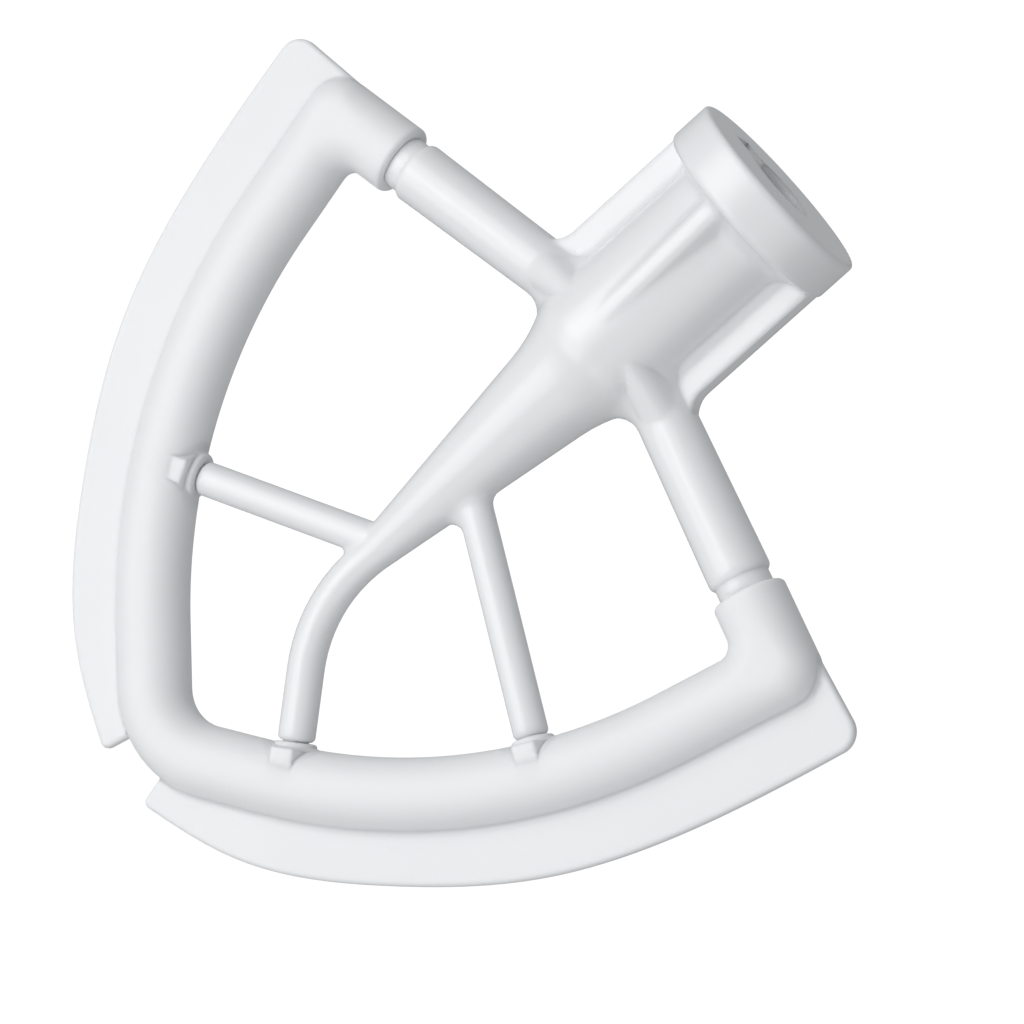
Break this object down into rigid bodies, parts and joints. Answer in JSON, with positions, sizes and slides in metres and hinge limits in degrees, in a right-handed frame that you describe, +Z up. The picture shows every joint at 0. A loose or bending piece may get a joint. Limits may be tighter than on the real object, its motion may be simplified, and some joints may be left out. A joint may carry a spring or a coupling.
{
  "type": "stand mixer flex edge beater",
  "caption": "Flat stand mixer beater: a white hub, arms, leg and struts in a pointed heart shape, with a soft wiper edge moulded over the rim.",
  "frame": {"origin": "centre of the shaft bore's mouth, in the hub's top face", "axes": "+Z up along the bore, X across the beater's width, Y through its thickness; the leg's foot bends towards +X"},
  "size_m": [0.163, 0.037, 0.1566],
  "materials": {
    "frame_white": "smooth glossy white coat",
    "edge_white": "satin white silicone"
  },
  "bodies": {
    "root": {"beater_frame": "frame_white", "flex_edge": "edge_white"}
  },
  "joints": []
}
